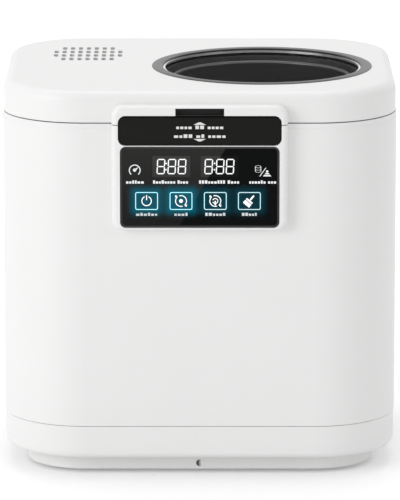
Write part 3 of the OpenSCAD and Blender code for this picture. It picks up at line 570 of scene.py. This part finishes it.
def plinthDish():
    # dark is the painted shade and light is the painted highlight
    shaded = paintedSideLitDish("dishShaded", dish["radius"], dish["dark"], dish["light"])
    face = trayLow[1] + dish["in"]
    front, back, hollow = (face + dish[key] for key in ("front", "back", "hollow"))
    inner = dish["radius"] - dish["lip"]
    profile = [(0.0, back), (dish["radius"], back), (dish["radius"], front), (inner, front),
               (0.0, hollow)]
    centre = (0.0, trayLow[2] + dish["up"])
    lathe("plinth_dish", profile, centre, shaded, "cabinet", steps=48, front=True)


plinthDish()
print("ring, bead and dish made")


# Touch panel: places are millimetres from the glass's top middle, to the right and down
mm = 0.001
panelLow, panelHigh = (np.array(corner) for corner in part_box("touch_panel"))
panelTop, panelFace = panelHigh[2], panelLow[1]
layer = {"lift": 0.12, "thick": 0.1}
# Where the painted reflection lies on the panel's glass and its windows: its top, slanted edge, slope,
# sharpness and fade
paintedSheen = {"top": float(panelTop), "edge": 0.0235, "slope": 0.585, "sharp": 800.0, "fade": 9.0}

# For each glass, dark is its own colour and light is the colour of the painted reflection
screenBlack = screenGlass("screenBlack", paintedSheen, (0.0018, 0.0021, 0.0022), (0.0265, 0.0265, 0.0255))
windowBlack = screenGlass("windowBlack", paintedSheen, (0.0058, 0.0057, 0.0056), (0.052, 0.051, 0.049))
screenRim = mouldedPlastic("screenRim", (0.050, 0.050, 0.050), rough=0.2, grain=0.1, gloss=0.15)
digitWhite = glowing("digitWhite", (0.74, 0.76, 0.77), 0.6)
markWhite = glowing("markWhite", (0.62, 0.64, 0.65), 0.45)


def onPanel(across, down):
    return np.array([across * mm, panelTop - down * mm])


# A thin plate proud of a front face by one or two lifts: its outline in millimetres, its centre in metres
def plateAt(name, outline, centre, material, level=1, hole=None, body="cabinet", face=panelFace):
    y = face - level * layer["lift"] * mm
    inner = None if hole is None else hole * mm + centre
    return frontPlate(name, outline * mm + centre, y, layer["thick"] * mm, material, body, inner)


# Several plates of one material round one centre, joined
def drawAll(name, outlines, centre, material, **where):
    parts = [plateAt(f"{name}_{i}", o, centre, material, **where) for i, o in enumerate(outlines)]
    return joined(name, parts)


# Part of a circle, and an open band: out along its outer arc and back along its inner one
def circleOutline(radius, start=0, end=345, steps=24):
    return arcProfile((0, 0), radius, start, end, steps)


def bandOutline(radius, stroke, start, end, steps=16):
    return np.concatenate([circleOutline(radius, start, end, steps),
                           circleOutline(radius - stroke, start, end, steps)[::-1]])


# An outline turned by an angle in radians
def turned(outline, angle):
    c, s = math.cos(angle), math.sin(angle)
    return outline @ np.array([(c, s), (-s, c)])


# The pane: a dark bevelled rim that slopes up to a flat black face, its rings as (inset, forward)
pane = {"rings": ((0.0, 0.0), (0.0, 2.6), (0.5, 2.95), (1.6, 3.0)), "corner": 5.0, "steps": 8}


def touchGlass():
    width, height = (panelHigh - panelLow)[[0, 2]] / mm
    centre = (panelLow + panelHigh)[[0, 2]] / 2
    lines = []
    for inset, forward in pane["rings"]:
        corner = max(pane["corner"] - inset, 1)
        outline = roundedOutline(width - 2 * inset, height - 2 * inset, corner, pane["steps"])
        lines.append(upright(outline * mm + centre, panelHigh[1] - forward * mm))
    count = len(lines[0])
    last = (len(lines) - 1) * count
    faces = gridFaces(len(lines), count, closedColumns=True).tolist()
    faces += [list(range(count)), list(range(last, last + count))[::-1]]
    glass = meshPiece("touch_pane", np.concatenate(lines), faces, screenRim, "cabinet", smooth=False)
    outward(glass)
    glass.data.materials.append(screenBlack)
    for face in glass.data.polygons:
        if len(face.vertices) > 4:
            face.material_index = 1
    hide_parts("touch_panel")


# Two displays, each of three lit digits with a colon after the first
display = {
    "down": 17.6, "height": 13.6, "width": 7.2, "stroke": 0.95, "gap": 0.22, "lean": 0.05,
    "window": (33.2, 18.8), "windowCorner": 1.0, "dot": 1.3, "dotCorner": 0.4, "dotRise": 2.8,
    "dotLean": 0.04, "middle": {"left": -24.8, "right": 17.4},
    "digits": {"left": (-33.9, -24.4, -15.5), "right": (7.8, 17.8, 26.5)},
    "colon": {"left": -29.4, "right": 12.9},
}


# A bar mitred at both ends, its six points as (along, across)
def mitredBar(start, end, line):
    tip = display["stroke"] / 2
    return np.array([(start, line), (start + tip, line + tip), (end - tip, line + tip),
                     (end, line), (end - tip, line - tip), (start + tip, line - tip)])


# The seven bars of a leaning digit: three across, then four upright; x grows by the lean times the height
def segmentBars():
    gap = display["gap"]
    high = display["height"] / 2 - display["stroke"] / 2
    side = display["width"] / 2 - display["stroke"] / 2
    bars = [mitredBar(gap - side, side - gap, line) for line in (high, 0, -high)]
    bars += [mitredBar(low + gap, low + high - gap, line)[:, ::-1]
             for low in (0, -high) for line in (-side, side)]
    return [bar + np.stack([bar[:, 1] * display["lean"], np.zeros(len(bar))], -1) for bar in bars]


def digits():
    bars = segmentBars()
    window = roundedOutline(*display["window"], display["windowCorner"], steps=3)
    dot = roundedOutline(display["dot"], display["dot"], display["dotCorner"], steps=3)
    for side, middle in display["middle"].items():
        centre = onPanel(middle, display["down"])
        plateAt(f"display_window_{side}", window, centre, windowBlack)
        lit = [bar + (x - middle, 0) for x in display["digits"][side] for bar in bars]
        colon = display["colon"][side] - middle
        lit += [dot + (colon + up * display["dotLean"], up)
                for up in (-display["dotRise"], display["dotRise"])]
        drawAll(f"digits_lit_{side}", lit, centre, digitWhite, level=2)


# Blocks stand where the letters of words would, in shares of a letter's size
block = {"widths": (0.75, 1.2), "gap": 0.34, "wordGap": 1.1, "heights": (0.7, 0.7, 1.0),
         "corner": 0.18}


# A line of blocks: each block ends at the running sum of random widths and gaps, scaled to the width
def wordBlocks(width, height, groups, seed):
    random = np.random.default_rng(seed)
    widths = random.uniform(*block["widths"], sum(groups))
    gaps = np.full(len(widths), block["gap"])
    gaps[np.cumsum(groups) - 1] = block["wordGap"]
    ends = np.cumsum(widths + gaps) - gaps
    size = width / ends[-1]
    heights = height * random.choice(block["heights"], len(widths))
    left, right = (ends - widths) * size - width / 2, ends * size - width / 2
    return [roundedOutline(r - l, h, block["corner"], steps=3) + ((l + r) / 2, (h - height) / 2)
            for l, r, h in zip(left, right, heights)]


# The four buttons' common sizes; then each one's middle, symbol, caption as (width, letters), and light
button = {
    "down": 48.3, "size": (19.8, 15.8), "line": 1.3, "corner": 1.6, "innerCorner": 1.0,
    "strength": 0.62, "glowSize": (132.0, 34.0), "glowCorner": 4.0, "glowDown": 50.4,
    "spread": 9.0, "inner": 3.0,
}
buttonRow = (
    {"across": -46.5, "symbol": "power", "caption": (18.5, 6), "colour": (0.40, 0.80, 0.90), "glow": 0.29},
    {"across": -16.4, "symbol": "cycle", "caption": (11.5, 4), "colour": (0.40, 0.80, 0.90), "glow": 0.33},
    {"across": 13.6, "symbol": "byHand", "caption": (17.5, 6), "colour": (0.50, 0.72, 0.76), "glow": 0.12},
    {"across": 43.4, "symbol": "brush", "caption": (13.0, 5), "colour": (0.50, 0.70, 0.74), "glow": 0.10},
)

# Labels under the displays as (middle, width, letters of each word), and captions under the buttons
words = {
    "labelDown": 31.4, "labelHeight": 2.9, "captionDown": 60.2, "captionHeight": 2.7,
    "labels": ((-56.7, 15.5, (6,)), (-25.6, 30.5, (8, 4)), (16.9, 35.0, (9, 4)), (55.0, 23.5, (6, 3))),
    "captionSeed": 10,
}


def labels():
    for i, (across, width, groups) in enumerate(words["labels"]):
        blocks = wordBlocks(width, words["labelHeight"], groups, i)
        drawAll(f"label_{i}", blocks, onPanel(across, words["labelDown"]), markWhite)
    for i, each in enumerate(buttonRow):
        width, letters = each["caption"]
        blocks = wordBlocks(width, words["captionHeight"], (letters,), words["captionSeed"] + i)
        drawAll(f"caption_{i}", blocks, onPanel(each["across"], words["captionDown"]), markWhite)


# A dial with a hub and a pointer
gauge = {"place": (-56.8, 21.0), "radius": 5.2, "stroke": 0.9, "from": -50, "to": 230, "hub": 1.5,
         "hubPlace": (-0.1, 0.2), "pointer": ((-1.2, 0.6), (0.9, -0.8), (3.1, 2.9))}

# A can of stacked rings, a slash, and a heap of two layers with a ball on top
can = {"place": (54.6, 21.4), "radius": 2.7, "stroke": 0.55, "flat": 0.42, "across": -3.6,
       "rings": ((3.6, 0, 359), (1.6, 180, 360), (-0.4, 180, 360)), "wallHeight": 4.0,
       "walls": (-6.0, -1.2), "wallUp": 1.6, "ball": 1.1, "ballPlace": (4.3, -0.6),
       "slash": ((-2.6, -5.0), (-1.8, -5.0), (3.6, 2.6), (2.8, 2.6)),
       "lower": ((0.6, -5.0), (8.0, -5.0), (7.0, -3.7), (1.6, -3.7)),
       "upper": ((2.1, -3.2), (6.5, -3.2), (5.7, -2.0), (2.9, -2.0))}


def pictograms():
    dial = [bandOutline(gauge["radius"], gauge["stroke"], gauge["from"], gauge["to"]),
            circleOutline(gauge["hub"], steps=20) + gauge["hubPlace"], np.array(gauge["pointer"])]
    drawAll("mark_gauge", dial, onPanel(*gauge["place"]), markWhite)
    stack = [bandOutline(can["radius"], can["stroke"], start, end) * (1, can["flat"]) + (can["across"], up)
             for up, start, end in can["rings"]]
    wall = roundedOutline(can["stroke"], can["wallHeight"], radius=0.2, steps=3)
    stack += [wall + (across, can["wallUp"]) for across in can["walls"]]
    stack += [np.array(can[key]) for key in ("slash", "lower", "upper")]
    stack.append(circleOutline(can["ball"], steps=16) + can["ballPlace"])
    drawAll("mark_filter", stack, onPanel(*can["place"]), markWhite)


# An open ring with a stem at its top
def powerSymbol():
    stem = roundedOutline(width=0.9, height=4.6, radius=0.3, steps=3) + (0, 3.0)
    return [bandOutline(radius=4.6, stroke=0.85, start=115, end=425), stem]


# Two arrows that chase each other round
def turningArrows():
    head = np.array([(-1.5, 0), (1.5, 0), (0, 2.1)]) * 0.9
    place, angle = np.array((-4.1, 3.6)), 0.45
    arcs = [bandOutline(radius=5.2, stroke=0.8, start=start, end=start + 156) for start in (-48, 132)]
    return arcs + [turned(head, angle) + place, turned(head, angle + math.pi) - place]


def cycleSymbol():
    return turningArrows() + [circleOutline(radius=1.7)]


# A finger on a ring that is open at its left, inside the arrows
def byHandSymbol():
    finger = roundedOutline(width=1.3, height=4.2, radius=0.6, steps=4) + (0, -1.9)
    return turningArrows() + [bandOutline(radius=2.6, stroke=0.7, start=200, end=520), finger]


# A brush that leans to the right: handle, collar and four bristles
def brushSymbol():
    handle = roundedOutline(width=1.5, height=5.4, radius=0.6, steps=4) + (0, 3.6)
    collar = roundedOutline(width=7.0, height=1.5, radius=0.5, steps=4)
    bristle = np.array([(-0.75, -1.3), (0.75, -1.3), (1.1, -5.0), (-1.0, -4.4)])
    parts = [handle, collar] + [bristle + (x, 0) for x in (-2.6, -0.85, 0.9, 2.65)]
    return [turned(part, -0.7) for part in parts]


symbols = {"power": powerSymbol, "cycle": cycleSymbol, "byHand": byHandSymbol, "brush": brushSymbol}


# Light that spreads from the four frames: each adds its glow times the square of
# (1 - distance / spread), the distance from its outline counting in full outwards, by half inwards
def glowFinish(name):
    finish = Finish(name, Base_Color=(0.0, 0.0, 0.0), Roughness=0.2, Specular_IOR_Level=0.0,
                    Emission_Color=(0.004, 0.22, 0.32), Emission_Strength=1.0)
    across, _, up = finish.axes()
    halfWidth, halfHeight = (length / 2 * mm for length in button["size"])
    inner = -button["inner"] * mm
    total = 0.0
    for each in buttonRow:
        middle, height = onPanel(each["across"], button["down"]).tolist()
        side = ((across - middle).absolute() - halfWidth).atLeast(inner)
        rise = ((up - height).absolute() - halfHeight).atLeast(inner)
        outwards = distance(side.atLeast(0.0), rise.atLeast(0.0))
        inwards = side.atLeast(rise).atMost(0.0) * -0.5
        near = (1.0 - (outwards + inwards) * (1 / (button["spread"] * mm))).clamped()
        total = near * near * each["glow"] + total
    finish.set(Alpha=total.clamped())
    return finish.material


def buttons():
    width, height = button["size"]
    line = button["line"]
    outer = roundedOutline(width, height, button["corner"], steps=4)
    inner = roundedOutline(width - line, height - line, button["innerCorner"], steps=4)
    glow = roundedOutline(*button["glowSize"], button["glowCorner"], steps=5)
    plateAt("button_glow", glow, onPanel(0.0, button["glowDown"]), glowFinish("buttonGlow"))
    for i, each in enumerate(buttonRow):
        centre = onPanel(each["across"], button["down"])
        frameCyan = glowing(f"frameCyan{i}", each["colour"], button["strength"])
        plateAt(f"button_frame_{i}", outer, centre, frameCyan, level=2, hole=inner)
        drawAll(f"button_icon_{i}", symbols[each["symbol"]](), centre, digitWhite, level=2)


touchGlass()
digits()
labels()
pictograms()
buttons()
print("panel drawn")


# Marks on the handle: an arrow and a line of blocks for each way it moves, in millimetres down
handleLow, handleHigh = (np.array(corner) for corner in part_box("latch_handle"))
handleMarks = {
    "arrowWidth": 11.0, "arrowHeight": 2.3, "arrowTip": 0.16, "upArrow": 6.5, "downArrow": 21.2,
    "words": (("upWords", 9.8, 41.0), ("downWords", 17.6, 45.0)), "height": 3.1,
    "groups": (4, 2, 4), "seed": 30,
}
handleWhite = mouldedPlastic("handleWhite", (0.80, 0.80, 0.79), rough=0.5, grain=0.1)


def onHandle(down):
    return np.array([0.0, handleHigh[2] - down * mm])


def markHandle():
    marks = handleMarks
    half, tall = marks["arrowWidth"] / 2, marks["arrowHeight"] / 2
    tip = half * marks["arrowTip"]
    arrow = np.array([(-half, -tall), (half, -tall), (tip, tall), (-tip, tall)])
    where = {"body": "latch", "face": handleLow[1]}
    plateAt("handle_arrow_up", arrow, onHandle(marks["upArrow"]), handleWhite, **where)
    plateAt("handle_arrow_down", -arrow, onHandle(marks["downArrow"]), handleWhite, **where)
    for i, (name, down, width) in enumerate(marks["words"]):
        blocks = wordBlocks(width, marks["height"], marks["groups"], marks["seed"] + i)
        drawAll(f"handle_{name}", blocks, onHandle(down), handleWhite, **where)


markHandle()
print("handle marked")


# Stage: floor, soft lights and a long-lens camera
stageValues = {
    "floorDark": 0.90, "floorLight": 0.92, "floorHalf": 30.0, "floorLift": 0.215,
    "farLift": 0.16, "liftFrom": 0.3, "liftOver": 0.9, "worldLevel": 0.645, "aim": (0.0, 0.0, 0.18),
}
lights = {
    "keyLight": {"power": 33.0, "size": (1.6, 1.6), "place": (-2.5, -1.9, 1.2)},
    "fillLight": {"power": 6.0, "size": (1.6, 1.8), "place": (2.4, -1.6, 1.2)},
    "topLight": {"power": 17.0, "size": (1.8, 1.4), "place": (0.0, 0.6, 2.8)},
}
cameraValues = {"away": 4.0, "high": 1.0378, "pitch": 12.18, "lens": 322.9, "sensor": 36.0,
                "shiftX": 0.0005, "shiftY": 0.0027, "far": 100.0}


# One for rays from the camera and for those that a glossy or clear surface sends on, otherwise nought
def seenRays(tree):
    rays = tree.nodes.new("ShaderNodeLightPath")
    camera, glossy, through = (Wire(tree, rays.outputs[name]) for name in
                               ("Is Camera Ray", "Is Glossy Ray", "Is Transmission Ray"))
    return camera.atLeast(glossy).atLeast(through)


# A white floor, lit up a little for the rays that see it, and more so away from the object
def floorFinish():
    finish = Finish("floorWhite", Roughness=0.6)
    dust = finish.noise(3.0, detail=2.0)
    base = finish.mix(dust, (stageValues["floorDark"],) * 3, (stageValues["floorLight"],) * 3)
    right, back, _ = finish.axes()
    rise = distance(right, back) - stageValues["liftFrom"]
    far = (rise * (1.0 / stageValues["liftOver"])).clamped()
    amount = seenRays(finish.tree) * (far * stageValues["farLift"] + stageValues["floorLift"])
    lift = finish.mix(amount, (0.0,) * 3, (1.0,) * 3)
    finish.set(Base_Color=base, Emission_Color=lift, Emission_Strength=1.0)
    return finish.material


def buildFloor():
    half = stageValues["floorHalf"]
    corners = [(-half, -half, 0), (half, -half, 0), (half, half, 0), (-half, half, 0)]
    mesh = bpy.data.meshes.new("floor")
    mesh.from_pydata(corners, [], [(0, 1, 2, 3)])
    mesh.materials.append(floorFinish())
    floor = bpy.data.objects.new("floor", mesh)
    bpy.context.scene.collection.objects.link(floor)


# A white world, dimmed for all rays that only carry light
def buildWorld():
    world = bpy.data.worlds.new("studio")
    bpy.context.scene.world = world
    world.use_nodes = True
    background = world.node_tree.nodes["Background"]
    level = stageValues["worldLevel"]
    background.inputs[0].default_value = (1, 1, 1, 1)
    plug(world.node_tree, background.inputs[1], seenRays(world.node_tree) * (1.0 - level) + level)


# A rectangular lamp turned to face the object's middle
def softLight(name, power, size, place):
    light = bpy.data.lights.new(name, "AREA")
    light.energy = power
    light.shape = "RECTANGLE"
    light.size, light.size_y = size
    lamp = bpy.data.objects.new(name, light)
    lamp.location = place
    x, y, z = np.array(stageValues["aim"]) - np.array(place)
    lamp.rotation_euler = (math.atan2(math.hypot(x, y), -z), 0, math.atan2(x, -y) + math.pi)
    bpy.context.scene.collection.objects.link(lamp)


def addCamera():
    data = bpy.data.cameras.new("photoCamera")
    data.sensor_fit = "VERTICAL"
    data.sensor_height = cameraValues["sensor"]
    data.lens = cameraValues["lens"]
    data.shift_x = cameraValues["shiftX"]
    data.shift_y = cameraValues["shiftY"]
    data.clip_end = cameraValues["far"]
    camera = bpy.data.objects.new("photoCamera", data)
    camera.location = (0.0, -cameraValues["away"], cameraValues["high"])
    camera.rotation_euler = (math.pi / 2 - math.radians(cameraValues["pitch"]), 0.0, 0.0)
    bpy.context.scene.collection.objects.link(camera)
    bpy.context.scene.camera = camera


buildFloor()
buildWorld()
for name, values in lights.items():
    softLight(name, **values)
addCamera()
bpy.context.scene.view_settings.view_transform = "Standard"
print("stage set")
